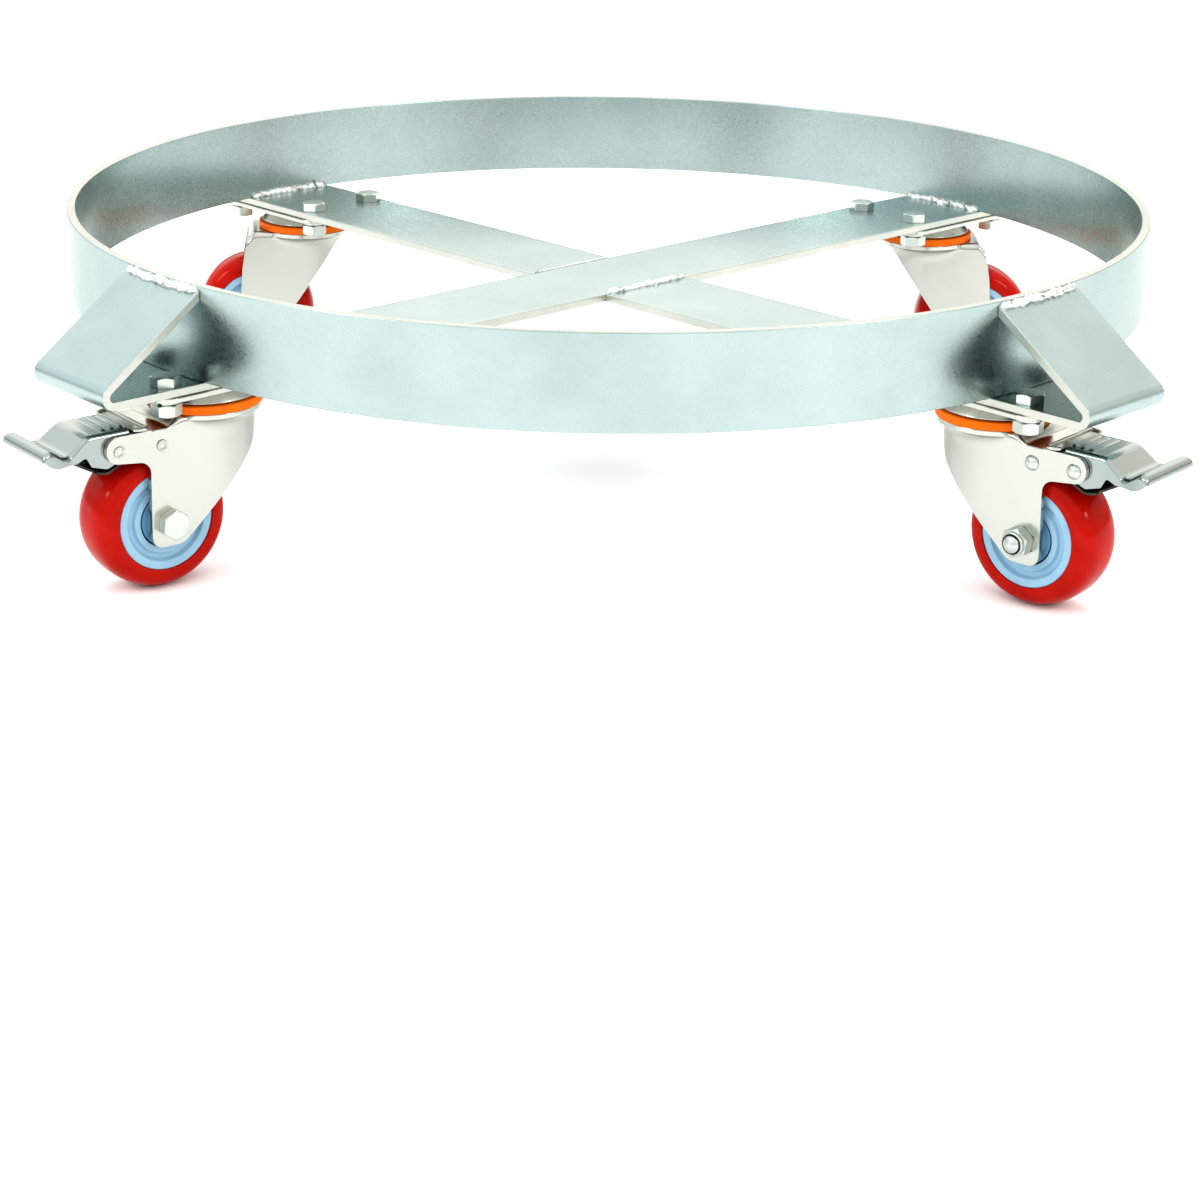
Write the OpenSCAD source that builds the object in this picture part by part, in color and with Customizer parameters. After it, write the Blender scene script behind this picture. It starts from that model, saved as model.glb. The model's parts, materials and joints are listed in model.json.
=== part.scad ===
// Steel drum dolly: a flat-bar ring on a welded cross, standing on four 3 inch swivel casters.
// Millimetres. The origin is on the floor under the centre of the ring, +Z is up, -Y is the front.
// The two front casters have a foot brake. The two rear ones are plain.

/* [Frame] */
// Outer diameter of the ring
ring_d = 620; // [610:1:630]
// Thickness of the ring's flat bar
ring_t = 5; // [4:0.5:6]
// Height of the ring's flat bar
ring_h = 50; // [46:1:54]
// Width of the cross bars
bar_w = 64; // [60:1:66]
// Thickness of the cross bars
bar_t = 4.5; // [4:0.5:5]
// Distance from the centre to the fold at the end of each bar
fold_reach = 367.7; // [362:0.1:372]
// Turn of each bar from the diagonals towards the sides, in degrees
bar_turn = 0.7; // [0:0.1:1]

/* [Casters] */
// Height of a caster from the floor to its top plate
caster_h = 108.8; // [108:0.1:110]
// Distance from the centre to each swivel axis
caster_r = 287; // [286:0.5:288]
// Distance from the swivel axis to the axle
trail = 34; // [33.5:0.1:34.5]
// Length of the top plate, along the bar
plate_l = 95; // [94:0.5:97]
// Width of the top plate, across the bar
plate_w = 67; // [66:0.5:70]
// Bolt spacing along the bar
hole_l = 76; // [75:0.5:77]
// Bolt spacing across the bar
hole_w = 45; // [44:0.5:46]

/* [Wheels] */
// Outer diameter of the tyre
wheel_d = 76.2; // [75.6:0.1:76.6]
// Width of the tyre
wheel_w = 32; // [31:0.5:32.5]
// Radius of the tyre's shoulders
shoulder_r = 10; // [8:0.5:11]

/* [Standing position] */
// Heading of the front left caster, from +X
heading_front_left = 220; // [0:1:359]
// Heading of the front right caster, from +X
heading_front_right = 320; // [0:1:359]
// Heading of the rear left caster, from +X
heading_rear_left = 188; // [0:1:359]
// Heading of the rear right caster, from +X
heading_rear_right = 0; // [0:1:359]

/* [Hidden] */
$fn = 96;
eps = 0.05;                   // how far one solid is sunk into another of its own node
CORNERS = ["front_left", "front_right", "rear_left", "rear_right"];
ARM_ANGLES = [225 - bar_turn, 315 + bar_turn, 135 + bar_turn, 45 - bar_turn];
HEADINGS = [heading_front_left, heading_front_right, heading_rear_left, heading_rear_right];
FRONT = [0, 1];
LONG = [0, 3];                // the corners joined by the long bar
ALL = [0, 1, 2, 3];
CASTER_PARTS = ["top_plate", "seal_ring", "fork", "axle_bolt", "axle_nut", "axle_sleeve", "dust_caps",
                "wheel_bearings", "wheel_hub", "tyre"];
BRAKE_PARTS = ["brake_pedal", "brake_shoe", "lock_plate", "brake_rivets"];

// Colours
zinc = [0.79, 0.84, 0.83];
bright_zinc = [0.86, 0.88, 0.87];
steel = [0.62, 0.64, 0.66];
seal_orange = [0.96, 0.36, 0.06];
tyre_red = [0.78, 0.10, 0.08];
hub_blue = [0.66, 0.79, 0.90];
cap_blue = [0.30, 0.58, 0.80];
shoe_black = [0.10, 0.10, 0.09];

// Heights are counted down from the deck, which is the top face of the cross bars
deck = caster_h + bar_t;
axle_z = wheel_d / 2;
function H(drop) = deck - drop;

// Frame
fold_in = 2.5;                // inner radius of the fold
fold_out = fold_in + bar_t;
gusset_top = 47;              // where the gusset's outer face meets the ring
bar_hole_r = 4.5;
joint_overlap = 3;            // a half bar is drawn this far into the long bar, then cut to meet it

// Plate bolts: M8, 14 mm across flats
bolt_r = 4;
bolt_af = 14;
bolt_head = 5.3;
nut_h = 6.5;
washer_r = 7.2;
washer_t = 2;
plate_t = 2.5;
plate_corner = 10;
plate_hole_r = 4.2;
nut_drop = bar_t + plate_t + washer_t + nut_h;   // underside of the plate nuts

// Swivel head
dome_top_r = 24;
dome_r = 29.3;
dome_drop = bar_t + 10.2;     // underside of the upper race
race_in = 16;
race_depth = 2.7;
pin_r = 6;
pin_fit = 0.08;
pin_head_r = 10;
pin_head_h = 4;
pin_flange_r = 11;
pin_flange_h = 2.4;
seal_r = 30.7;
seal_in = 27;
seal_gap = 0.3;
head_drop = bar_t + 15;       // top of the fork's head
head_t = 2.5;
head_r = 30;
ball_r = 2.2;
ball_ring_r = 21.5;
ball_count = 20;

// Fork
leg_out = 20.5;
leg_t = 2.7;
leg_in = leg_out - leg_t;
hood_x = -8;                  // centre of the rounded back of the fork
leg_end_r = 12.5;
leg_end_x = trail - 1.4;
flare_h = 5;                  // depth of the flare under the head

// Axle: 3/8 inch, 9/16 inch across flats
axle_r = 4.76;
axle_af = 14.3;
axle_head = 6;
axle_head_turn = 8;
lock_nut_h = 7;
lock_nut_turn = 20;
lock_collar_r = 6.4;
lock_collar_h = 2;
axle_end = 2.4;               // thread standing out of the lock nut
sleeve_r = 6.35;
bearing_fit = 0.06;
bearing_r = 11;
bearing_in = 6;
bearing_out = 13;

// Hub
hub_r = 26.8;
hub_face = 15.3;
groove_in = 17.8;
groove_out = 22.4;
groove_floor = 12.8;
cap_recess_r = 14.7;
cap_lip = 14.6;
cap_r = 13.9;
cap_in = 13.4;
cap_out = 14.6;
cap_boss_r = 10;

// Brake
pivot = [61.5, H(32)];        // the pedal's rivet
anchor = [37.1, H(32.8)];     // the shoe's rivet
rivet_r = 2.5;
rivet_fit = 0.06;
rivet_head_r = 4.2;           // the headed end
rivet_head_top = 2.2;
rivet_head_h = 2;
rivet_tail_r = 3.2;           // the end that is closed over
rivet_tail_h = 1;
pedal_half = 17.4;
pedal_wide = 20.5;
pedal_t = 1.8;
grip_ribs = [57.5, 63, 68.5];
grip_r = 1.1;
grip_l = 26;
shoe_half = 17;
shoe_tail = 15.2;
shoe_pad = 9;
shoe_t = 1.3;
shoe_eye_r = 3.3;
ear_r = 7.2;
ear_tip = [61.5, H(31.2)];
lock_x = 44.2;
lock_half = 19.8;
lock_l = 7.8;
lock_t = 1.2;
lock_drop = 22.5;

// Sheet metal helpers: a line of points along the top face becomes a strip of thickness t
function heading(a, b) = (b - a) / norm(b - a);
function left_of(v) = [-v[1], v[0]];
function mitre(p, i) =
    let (d0 = i > 0 ? heading(p[i - 1], p[i]) : heading(p[0], p[1]))
    let (d1 = i < len(p) - 1 ? heading(p[i], p[i + 1]) : d0)
    let (m = left_of(d0) + left_of(d1))
    2 * m / (m * m);
function strip(p, t) = concat(p, [for (i = [len(p) - 1 : -1 : 0]) p[i] - t * mitre(p, i)]);
function arc(c, r, a0, a1, n) = [
    for (k = [0 : n])
        let (a = a0 + (a1 - a0) * k / n)
        c + r * [cos(a), sin(a)]
];
// The point where a line from p touches the lower side of the circle at c
function touch(p, c, r) =
    let (d = norm(c - p))
    let (a = atan2(c[1] - p[1], c[0] - p[0]) - asin(r / d))
    p + sqrt(d * d - r * r) * [cos(a), sin(a)];

// Places
module on_arm(angle) rotate([0, 0, angle]) children();
module at_swivel(i) {
    a = ARM_ANGLES[i];
    translate([caster_r * cos(a), caster_r * sin(a), 0]) children();
}
module on_caster(i) at_swivel(i) rotate([0, 0, HEADINGS[i]]) children();
module at_axle() translate([trail, 0, axle_z]) rotate([90, 0, 0]) children();
module sideways(y0, y1) translate([0, y1, 0]) rotate([90, 0, 0]) linear_extrude(y1 - y0) children();
module both_sides() {
    children();
    mirror([0, 1, 0]) children();
}
module hex_bar(af, h) cylinder(d = af / cos(30), h = h, $fn = 6);
module rivet_bore(p, r) translate([p[0], 0, p[1]]) rotate([90, 0, 0]) cylinder(r = r, h = 80, center = true);

// Frame ------------------------------------------------------------------

module ring() color(zinc) {
    translate([0, 0, deck]) difference() {
        cylinder(d = ring_d, h = ring_h, $fn = 180);
        translate([0, 0, -1]) cylinder(r = ring_d / 2 - ring_t, h = ring_h + 2, $fn = 180);
    }
}

// Side view of one bar end, from x0 out to the fold and back up to the ring
module bar_side(x0) {
    centre = [fold_reach - fold_out, fold_in];
    meet = [ring_d / 2, gusset_top];
    reach = meet - centre;
    slope = atan2(reach[1], -reach[0]) - asin(fold_out / norm(reach));
    normal = [sin(slope), cos(slope)];
    back = [-cos(slope), sin(slope)];
    run = norm(reach) + ring_t;
    translate([x0, -bar_t]) square([centre[0] - x0, bar_t]);
    polygon(concat(
        arc(centre, fold_out, -90, 90 - slope, 12),
        [centre + fold_out * normal + run * back, centre + fold_in * normal + run * back],
        arc(centre, fold_in, 90 - slope, -90, 12)
    ));
}

module bar_end(x0) translate([0, 0, deck]) difference() {
    sideways(-bar_w / 2, bar_w / 2) bar_side(x0);
    cylinder(r = ring_d / 2 + eps / 2, h = 2 * ring_h, $fn = 180);
}

module plate_hole_places() {
    for (x = [-hole_l / 2, hole_l / 2]) {
        for (y = [-hole_w / 2, hole_w / 2]) {
            translate([x, y, 0]) children();
        }
    }
}

module bar_holes() translate([caster_r, 0, deck - bar_t - 1]) {
    plate_hole_places() cylinder(r = bar_hole_r, h = bar_t + 2);
}

module long_bar() color(zinc) {
    difference() {
        union() {
            for (i = LONG) on_arm(ARM_ANGLES[i]) bar_end(0);
            long_bar_middle(bar_t, 0);
        }
        for (i = LONG) on_arm(ARM_ANGLES[i]) bar_holes();
    }
}

// The long bar where the half bars are welded to it, with this much more above its top face
module long_bar_middle(depth, above) on_arm(ARM_ANGLES[LONG[1]]) {
    translate([-bar_w, -bar_w / 2, deck - depth]) cube([2 * bar_w, bar_w, depth + above]);
}

module half_bar(i) color(zinc) difference() {
    on_arm(ARM_ANGLES[i]) bar_end(bar_w / 2 - joint_overlap);
    on_arm(ARM_ANGLES[i]) bar_holes();
    long_bar_middle(2 * bar_t, bar_t);
}

// Fasteners of the top plates ---------------------------------------------

module plate_bolts() color(bright_zinc) for (i = ALL) on_arm(ARM_ANGLES[i]) translate([caster_r, 0, 0]) {
    plate_hole_places() {
        translate([0, 0, deck]) hex_bar(bolt_af, bolt_head);
        translate([0, 0, H(nut_drop)]) cylinder(r = bolt_r, h = nut_drop + eps);
    }
}

module plate_washers() color(bright_zinc) for (i = ALL) on_arm(ARM_ANGLES[i]) translate([caster_r, 0, 0]) {
    plate_hole_places() translate([0, 0, H(nut_drop - nut_h)]) difference() {
        cylinder(r = washer_r, h = washer_t);
        translate([0, 0, -1]) cylinder(r = bolt_r + eps, h = washer_t + 2);
    }
}

module plate_nuts() color(bright_zinc) for (i = ALL) on_arm(ARM_ANGLES[i]) translate([caster_r, 0, 0]) {
    plate_hole_places() translate([0, 0, H(nut_drop)]) difference() {
        hex_bar(bolt_af, nut_h);
        translate([0, 0, -1]) cylinder(r = bolt_r + eps, h = nut_h + 2);
    }
}

// Swivel head -------------------------------------------------------------

module rounded_plate(l, w, r) {
    square([l - 2 * r, w], center = true);
    square([l, w - 2 * r], center = true);
    for (x = [-1, 1]) for (y = [-1, 1]) translate([x * (l / 2 - r), y * (w / 2 - r)]) circle(r);
}

module top_plate(i) color(bright_zinc) at_swivel(i) rotate([0, 0, ARM_ANGLES[i]]) {
    difference() {
        union() {
            translate([0, 0, H(bar_t + plate_t)]) {
                linear_extrude(plate_t) rounded_plate(plate_l, plate_w, plate_corner);
            }
            translate([0, 0, H(dome_drop)]) {
                cylinder(r1 = dome_r, r2 = dome_top_r, h = dome_drop - bar_t - plate_t + eps);
            }
        }
        translate([0, 0, H(dome_drop) - 1]) cylinder(r = race_in, h = race_depth + 1);
        translate([0, 0, H(dome_drop) - 1]) cylinder(r = pin_r + eps, h = dome_drop);
        plate_hole_places() translate([0, 0, H(bar_t + plate_t) - 1]) cylinder(r = plate_hole_r, h = plate_t + 2);
    }
}

module kingpins() color(steel) for (i = ALL) at_swivel(i) {
    shank_drop = head_drop + head_t + 0.3;
    translate([0, 0, H(shank_drop) - eps]) cylinder(r = pin_r, h = shank_drop - bar_t);
    translate([0, 0, H(dome_drop - 0.2)]) cylinder(r = pin_flange_r, h = pin_flange_h);
    translate([0, 0, H(shank_drop + pin_head_h)]) {
        cylinder(r1 = pin_head_r - 1.5, r2 = pin_head_r, h = pin_head_h);
    }
}

module swivel_balls() color(steel) for (i = ALL) at_swivel(i) {
    for (k = [0 : ball_count - 1]) {
        rotate([0, 0, k * 360 / ball_count]) translate([ball_ring_r, 0, H(dome_drop + ball_r + 0.02)]) {
            sphere(r = ball_r, $fn = 24);
        }
    }
}

module seal_ring(i) color(seal_orange) at_swivel(i) translate([0, 0, H(head_drop)]) difference() {
    cylinder(r = seal_r, h = head_drop - dome_drop - seal_gap);
    translate([0, 0, -1]) cylinder(r = seal_in, h = head_drop);
}

// Fork ----------------------------------------------------------------------

// The walls seen from above: two flat sides and a rounded back
module walls_plan() difference() {
    union() {
        translate([hood_x, -leg_out]) square([90, 2 * leg_out]);
        translate([hood_x, 0]) circle(leg_out);
    }
    translate([hood_x, -leg_in]) square([91, 2 * leg_in]);
    translate([hood_x, 0]) circle(leg_in);
}

// The plain fork seen from the side
module plain_side() {
    end = [leg_end_x, axle_z];
    back = [7, H(67)];
    top = H(head_drop + head_t / 2);
    translate(end) circle(leg_end_r);
    polygon([[38.5, top], end + [leg_end_r, 0], end, touch(back, end, leg_end_r), back, [-24.5, H(23)],
             [-29, top]]);
}

// The brake fork seen from the side, with the ears that hold the two rivets
module brake_side() {
    end = [leg_end_x, axle_z];
    back = [hood_x, H(57)];
    top = H(head_drop + head_t / 2);
    corner_r = 6;
    translate(end) circle(leg_end_r);
    translate(ear_tip) circle(ear_r);
    polygon(concat(
        [[19, top], [26, H(20.8)], [31, H(23.4)], [34, H(24)], ear_tip + [0, ear_r], ear_tip - [0, ear_r]],
        [[50.5, H(40.4)]],
        arc([49.6, H(40.4) - corner_r], corner_r, 90, 180, 6),
        [end + [leg_end_r, 0], end, touch(back, end, leg_end_r), back],
        [[-22, H(44)], [-28.5, H(28)], [-28.5, top]]
    ));
}

module flare() translate([0, 0, H(head_drop + head_t + flare_h)]) difference() {
    cylinder(r1 = leg_out + 0.8, r2 = head_r - 0.5, h = flare_h + eps);
    translate([0, 0, -eps]) cylinder(r1 = leg_out - 1.8, r2 = head_r - 3, h = flare_h + 2 * eps);
}

module fork(i) color(bright_zinc) on_caster(i) {
    brake = i < 2;
    nose = brake
        ? [[20, H(head_drop)], [26, H(19.8)], [30.5, H(21.8)], [33.5, H(23.9)], [42.5, H(24.4)]]
        : [[20, H(head_drop)], [33.5, H(head_drop)], [36.8, H(20.8)], [38.6, H(24.2)]];
    difference() {
        union() {
            intersection() {
                translate([0, 0, H(120)]) linear_extrude(120 - head_drop - head_t / 2) walls_plan();
                sideways(-leg_out, leg_out) {
                    if (brake) brake_side();
                    else plain_side();
                }
            }
            translate([0, 0, H(head_drop + head_t)]) cylinder(r = head_r, h = head_t);
            sideways(-leg_out + 0.2, leg_out - 0.2) polygon(strip(nose, head_t));
            flare();
        }
        translate([0, 0, H(head_drop + head_t) - 1]) cylinder(r = pin_r + pin_fit, h = head_t + 2);
        translate([trail, 0, axle_z]) rotate([90, 0, 0]) cylinder(r = axle_r + eps, h = 80, center = true);
        if (brake) {
            for (p = [pivot, anchor]) rivet_bore(p, rivet_r + eps);
        }
    }
}

// Axle and wheel ---------------------------------------------------------------

module axle_bolt(i) color(bright_zinc) on_caster(i) at_axle() {
    translate([0, 0, -leg_out - axle_head]) rotate([0, 0, axle_head_turn]) hex_bar(axle_af, axle_head);
    translate([0, 0, -leg_out - eps]) {
        cylinder(r = axle_r, h = 2 * leg_out + lock_nut_h + lock_collar_h + axle_end);
    }
}

module axle_nut(i) color(bright_zinc) on_caster(i) at_axle() translate([0, 0, leg_out]) difference() {
    union() {
        rotate([0, 0, lock_nut_turn]) hex_bar(axle_af, lock_nut_h);
        cylinder(r = lock_collar_r, h = lock_nut_h + lock_collar_h);
    }
    translate([0, 0, -1]) cylinder(r = axle_r + eps, h = lock_nut_h + lock_collar_h + 2);
}

module axle_sleeve(i) color(steel) on_caster(i) at_axle() difference() {
    cylinder(r = sleeve_r, h = 2 * leg_in, center = true);
    cylinder(r = axle_r + eps, h = 2 * leg_in + 2, center = true);
}

module mirrored_pair() {
    children();
    mirror([0, 0, 1]) children();
}

module dust_caps(i) color(cap_blue) on_caster(i) at_axle() mirrored_pair() difference() {
    union() {
        translate([0, 0, cap_in]) cylinder(r = cap_r, h = cap_out - cap_in);
        translate([0, 0, cap_in]) cylinder(r = cap_boss_r, h = leg_in - cap_in);
    }
    cylinder(r = sleeve_r + eps, h = leg_in + 1);
}

module wheel_bearings(i) color(steel) on_caster(i) at_axle() mirrored_pair() difference() {
    translate([0, 0, bearing_in + eps]) cylinder(r = bearing_r, h = bearing_out - bearing_in - 2 * eps);
    cylinder(r = sleeve_r + bearing_fit, h = bearing_out + 1);
}

// One half of the hub's section, as [radius, distance along the axle]
HUB_HALF = [
    [bearing_r - 3, bearing_in], [bearing_r + eps / 2, bearing_in], [bearing_r + eps / 2, bearing_out],
    [cap_recess_r, bearing_out], [cap_recess_r, cap_lip], [groove_in, cap_lip], [groove_in + 0.8, groove_floor],
    [groove_out - 1, groove_floor], [groove_out, hub_face], [hub_r, hub_face]
];

module wheel_hub(i) color(hub_blue) on_caster(i) at_axle() rotate_extrude($fn = 120) {
    other_half = [for (k = [len(HUB_HALF) - 1:-1:0]) [HUB_HALF[k][0], -HUB_HALF[k][1]]];
    polygon(concat(HUB_HALF, other_half));
}

module tyre(i) color(tyre_red) on_caster(i) at_axle() rotate_extrude($fn = 120) {
    inner = hub_r + eps / 2;
    outer = wheel_d / 2;
    half = wheel_w / 2;
    flat = half - shoulder_r;
    difference() {
        union() {
            translate([hub_face, -half]) square([outer - shoulder_r - hub_face, wheel_w]);
            translate([hub_face, -flat]) square([outer - hub_face, 2 * flat]);
            for (side = [-1, 1]) translate([outer - shoulder_r, side * flat]) circle(shoulder_r);
        }
        translate([0, -wheel_w]) square([inner, 2 * wheel_w]);
    }
}

// Brake --------------------------------------------------------------------------

PEDAL_TOP = [
    [53, H(22)], [77, H(22)], [80.5, H(23.6)], [84, H(26.7)], [87.5, H(29.2)], [91, H(29.8)], [94.5, H(28)],
    [98, H(25.4)], [101, H(24.6)], [103.8, H(25.6)], [105.6, H(28.2)]
];
PEDAL_TOOTH = [
    [95.3, H(33.7)], [84, H(34.6)], [81, H(34)], [78.5, H(32.3)], [77, H(35)], [75.5, H(38)], [67, H(40.7)],
    [63, H(38.9)], pivot + [-2, -6.5], pivot + [-6.5, -2], [54, H(26)]
];

module brake_pedal(i) color(bright_zinc) on_caster(i) difference() {
    union() {
        sideways(-pedal_half, pedal_half) polygon(strip(PEDAL_TOP, pedal_t));
        sideways(-pedal_wide, pedal_wide) {
            polygon(strip([for (p = PEDAL_TOP) if (p[0] > 80) p], pedal_t));
        }
        both_sides() sideways(pedal_half - pedal_t, pedal_half) {
            polygon(concat([for (p = PEDAL_TOP) if (p[0] < 99) p], PEDAL_TOOTH));
        }
        for (x = grip_ribs) {
            translate([x, 0, H(22.2)]) rotate([90, 0, 0]) cylinder(r = grip_r, h = grip_l, center = true);
        }
    }
    rivet_bore(pivot, rivet_r + rivet_fit);
}

SHOE_TOP = [
    anchor + [0, shoe_eye_r], [44, H(31.7)], [52, H(35.6)], [60, H(39.3)], [66, H(42.1)], [70.5, H(42.3)],
    [76, H(39.6)], [82, H(36.1)], [85.5, H(33.9)]
];
PAD = [[55, H(37.5)], [63, H(40.8)], [63, H(42.3)], [55, H(39.1)]];

// The shoe is a bent leaf. Its outer end is narrower and passes between the pedal's sides.
module brake_shoe(i) color(shoe_black) on_caster(i) difference() {
    union() {
        sideways(-shoe_half, shoe_half) polygon(strip([for (p = SHOE_TOP) if (p[0] < 77) p], shoe_t));
        sideways(-shoe_tail, shoe_tail) polygon(strip(SHOE_TOP, shoe_t));
        sideways(-shoe_pad, shoe_pad) polygon(PAD);
        translate([anchor[0], 0, anchor[1]]) rotate([90, 0, 0]) {
            cylinder(r = shoe_eye_r, h = 2 * shoe_half, center = true);
        }
    }
    rivet_bore(anchor, rivet_r + rivet_fit);
}

module lock_plate(i) color(bright_zinc) on_caster(i) {
    translate([lock_x, -lock_half, H(lock_drop + lock_t)]) cube([lock_l, 2 * lock_half, lock_t]);
}

module brake_rivets(i) color(steel) on_caster(i) for (p = [pivot, anchor]) {
    translate([p[0], 0, p[1]]) rotate([90, 0, 0]) {
        cylinder(r = rivet_r, h = 2 * leg_out + rivet_tail_h, center = true);
        translate([0, 0, leg_out]) cylinder(r1 = rivet_head_r, r2 = rivet_head_top, h = rivet_head_h);
        translate([0, 0, -leg_out - rivet_tail_h]) cylinder(r = rivet_tail_r, h = rivet_tail_h);
    }
}

// Drawing --------------------------------------------------------------------------

ring();
long_bar();
half_bar(1);  // half_bar_front_right
half_bar(2);  // half_bar_rear_left
plate_bolts();
plate_washers();
plate_nuts();
kingpins();
swivel_balls();
for (i = ALL) {
    top_plate(i);
    seal_ring(i);
    fork(i);
    axle_bolt(i);
    axle_nut(i);
    axle_sleeve(i);
    dust_caps(i);
    wheel_bearings(i);
    wheel_hub(i);
    tyre(i);
}
for (i = FRONT) {
    brake_pedal(i);
    brake_shoe(i);
    lock_plate(i);
    brake_rivets(i);
}
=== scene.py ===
"""Looks of the drum dolly: plated steel frame, pressed swivel casters, red tyres on light blue hubs.

Shapes are drawn in millimetres. A caster's own frame has X along its trail, Y across its wheel, and
Z = 0 level with the top of the cross bars. A bar's frame has X outward along the bar and the same Z.
"""

import json
import math

import bmesh
import bpy
import numpy as np
from mathutils import Matrix, Vector, noise


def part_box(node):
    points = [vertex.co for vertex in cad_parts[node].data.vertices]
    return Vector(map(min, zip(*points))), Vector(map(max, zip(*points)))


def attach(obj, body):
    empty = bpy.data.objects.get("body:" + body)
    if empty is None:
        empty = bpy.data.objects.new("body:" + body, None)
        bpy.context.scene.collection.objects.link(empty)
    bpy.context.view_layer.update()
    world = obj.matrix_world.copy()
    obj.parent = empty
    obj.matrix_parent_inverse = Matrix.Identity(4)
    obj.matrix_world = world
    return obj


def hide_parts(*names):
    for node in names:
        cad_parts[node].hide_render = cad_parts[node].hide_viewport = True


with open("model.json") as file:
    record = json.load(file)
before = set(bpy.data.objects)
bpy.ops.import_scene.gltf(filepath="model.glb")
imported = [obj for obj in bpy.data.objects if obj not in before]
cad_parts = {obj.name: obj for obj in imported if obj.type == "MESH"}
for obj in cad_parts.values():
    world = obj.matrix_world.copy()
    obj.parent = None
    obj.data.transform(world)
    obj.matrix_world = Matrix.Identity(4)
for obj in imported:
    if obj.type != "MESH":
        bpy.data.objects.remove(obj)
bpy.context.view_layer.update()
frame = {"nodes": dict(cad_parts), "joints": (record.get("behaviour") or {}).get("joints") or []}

MM = 0.001
CORNERS = ("front_left", "front_right", "rear_left", "rear_right")
BRAKED = CORNERS[:2]
JOINTS = {j["name"]: j for j in frame["joints"]}

# ---------------------------------------------------------------- driving sizes, in mm

ring_low, ring_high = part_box("ring")
DECK = ring_low.z / MM                  # height of the top of the cross bars over the floor
RING_R = ring_high.x / MM
RING_H = (ring_high.z - ring_low.z) / MM
RING_T = 5.0
BAR_W = 64.0
BAR_T = 4.5
FOLD_REACH = 367.7
FOLD_IN = 2.5
GUSSET_TOP = 47.0

PLATE_L = 95.0
PLATE_W = 67.0
PLATE_T = 2.5
PLATE_UNDER = -(BAR_T + PLATE_T)
DOME_UNDER = -14.7                      # underside of the race pressed down in the plate
BOLT_X, BOLT_Y = 38.0, 22.5             # a plate bolt's place, from the swivel axis
BOLT_SPOTS = [(x, y) for x in (-BOLT_X, BOLT_X) for y in (-BOLT_Y, BOLT_Y)]
BOLT_R = 4.0
BOLT_AF = 14.0
BOLT_HEAD = 5.3
NUT_H = 6.5
WASHER_R = 7.2
WASHER_T = 2.0
NUT_BOTTOM = -(BAR_T + PLATE_T + WASHER_T + NUT_H)

HEAD_TOP = -19.5                        # top of the fork's head
HEAD_T = 2.5
HEAD_R = 30.0
SEAL_IN = 27.0
SEAL_OUT = 30.7
SEAL_H = 4.5
LEG_OUT = 20.5
LEG_IN = 17.8
HOOD_BACK = -28.5                       # the back of the fork
TRAIL = 34.0
AXLE_Z = -75.2
AXLE = (TRAIL, 0, AXLE_Z)
AXLE_R = 4.76
AXLE_AF = 14.3
WHEEL_R = 38.1
WHEEL_HALF = 16.0
SHOULDER = 10.0                         # radius of the tyre's shoulders
OBLONG = 2.6                            # power of the rounded oblong that its tread and shoulders follow
SEAT_R = 26.86                          # where the tyre sits on the hub
HUB_HALF = 15.3
CAP_IN = 6.45                           # the thread guards' bore
PIVOT = (61.5, -32.0)                   # the pedal's rivet
ANCHOR = (37.1, -32.8)                  # the shoe's rivet
EAR_TOP = -24.0                         # top of the fork's ears
EAR_X = 42.6                            # where the ears leave the head
TRIM = 45                               # half the width of a tool that trims a whole pressing


# ---------------------------------------------------------------- shapes


def fillet(points, radius=0.0, steps=6, closed=True):
    """Rounds the corners of an outline. A point may be (x, y) or (x, y, its own radius)."""
    out = []
    count = len(points)
    for i, point in enumerate(points):
        r = point[2] if len(point) > 2 else radius
        here = Vector(point[:2])
        if r <= 0 or (not closed and i in (0, count - 1)):
            out.append(tuple(here))
            continue
        before = Vector(points[i - 1][:2]) - here
        after = Vector(points[(i + 1) % count][:2]) - here
        angle = before.angle(after)
        if angle > math.pi - 0.01:
            out.append(tuple(here))
            continue
        reach = min(r / math.tan(angle / 2), 0.49 * before.length, 0.49 * after.length)
        r = reach * math.tan(angle / 2)
        start = here + before.normalized() * reach
        end = here + after.normalized() * reach
        middle = here + (before.normalized() + after.normalized()).normalized() * (r / math.sin(angle / 2))
        a = start - middle
        b = end - middle
        turn = a.angle_signed(b)
        for k in range(steps + 1):
            t = -turn * k / steps
            spin = Matrix.Rotation(t, 2)
            out.append(tuple(middle + spin @ a))
    return out


def arc(cx, cy, r, start, end, steps):
    """Points along an arc, in degrees."""
    angles = np.radians(np.linspace(start, end, steps + 1))
    return [(cx + r * math.cos(a), cy + r * math.sin(a)) for a in angles]


def on_axis(r, d, angle, at, axis):
    """The point at a radius, an angle, and a distance d along the axis that runs through at."""
    u, v = r * math.cos(angle), r * math.sin(angle)
    p = (u, v, d) if axis == "Z" else (u, d, -v)
    return (p[0] + at[0], p[1] + at[1], p[2] + at[2])


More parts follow.
